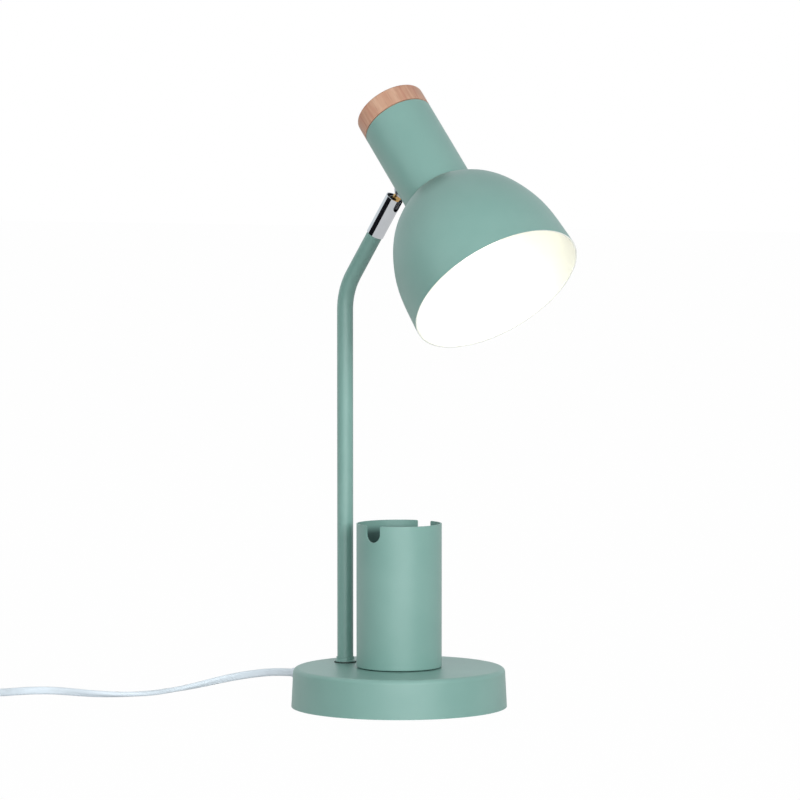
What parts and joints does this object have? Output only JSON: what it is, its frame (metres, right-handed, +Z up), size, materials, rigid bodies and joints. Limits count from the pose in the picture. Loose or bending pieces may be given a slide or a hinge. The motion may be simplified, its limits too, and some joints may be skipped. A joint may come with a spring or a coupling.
{
  "type": "desk lamp with pen holder",
  "caption": "Desk lamp with a weighted drum base, a pen cup on the base, a bent pole, a tilting and swivelling bell shade with a wooden cap, and a corded switch and plug.",
  "frame": {"origin": "middle of the base's underside, on the surface that the lamp stands on", "axes": "+Z up; -Y is the side that the head leans to, so the pole and the cord are at +Y; +X to the right as seen from the front, along the hinge pin"},
  "size_m": [0.4186, 0.4317, 0.4601],
  "materials": {
    "sage_paint": "satin",
    "cast_iron": "rough",
    "zinc_steel": "satin",
    "chrome": "polished",
    "black_steel": "satin",
    "brass": "satin",
    "bulb_metal": "satin",
    "black_rubber": "matt",
    "black_foam": "matt",
    "black_plastic": "matt",
    "beech": "oiled",
    "white_ceramic": "glazed",
    "opal_glass": "opal",
    "white_sheath": "satin",
    "white_plastic": "gloss",
    "dark_plastic": "matt",
    "core_insulation": "satin"
  },
  "bodies": {
    "stand": {"base_shell": "sage_paint", "pen_cup": "sage_paint", "pole": "sage_paint", "pole_collar": "sage_paint", "base_weight": "cast_iron", "base_plate": "zinc_steel", "plate_screws": "zinc_steel", "cup_screw": "zinc_steel", "cup_washer": "zinc_steel", "foot_nipple": "zinc_steel", "foot_plate": "zinc_steel", "foot_washer": "zinc_steel", "foot_nut": "zinc_steel", "friction_washers": "zinc_steel", "switch_screws": "zinc_steel", "knuckle_sleeve": "chrome", "hinge_rivets": "chrome", "plug_pins": "brass", "pole_gasket": "black_rubber", "non_slip_pad": "black_foam", "cup_spacer": "black_plastic", "cord_inner": "white_sheath", "cord_to_switch": "white_sheath", "cord_from_switch": "white_sheath", "cord_coil": "white_sheath", "cord_to_plug": "white_sheath", "cord_bush": "white_plastic", "switch_tray": "white_plastic", "switch_lid": "white_plastic", "plug_body": "white_plastic", "pin_sleeves": "dark_plastic", "stem_leads": "core_insulation"},
    "elbow": {"elbow_ball": "black_steel", "elbow_nipple": "brass", "elbow_washer": "zinc_steel", "elbow_nut": "zinc_steel"},
    "head": {"neck_bush": "zinc_steel", "inner_saddle": "zinc_steel", "shade": "sage_paint", "wood_cap": "beech", "wood_insert": "brass", "cap_screw": "zinc_steel", "holder_bracket": "zinc_steel", "holder_screws": "zinc_steel", "lampholder_body": "white_ceramic", "socket_shell": "brass", "centre_contact": "brass", "terminal_screws": "brass", "bulb_glass": "opal_glass", "bulb_cap": "bulb_metal", "bulb_contact": "bulb_metal", "head_leads": "core_insulation"},
    "rocker": {"switch_rocker": "white_plastic"}
  },
  "joints": [
    {"name": "head_tilt", "type": "hinge", "parent": "stand", "child": "elbow", "pos_m": [0, 0.00693, 0.37289], "axis": [1, 0, 0], "range_deg": [-35, 40]},
    {"name": "head_swivel", "type": "hinge", "parent": "elbow", "child": "head", "pos_m": [0, 0.00693, 0.37289], "axis": [0, -0.749, 0.6626], "range_deg": [-112.4, 127.6]},
    {"name": "switch_rocker", "type": "hinge", "parent": "stand", "child": "rocker", "pos_m": [-0.2, 0.268, 0.0126], "axis": [0, -1, 0], "range_deg": [0, 16]}
  ]
}
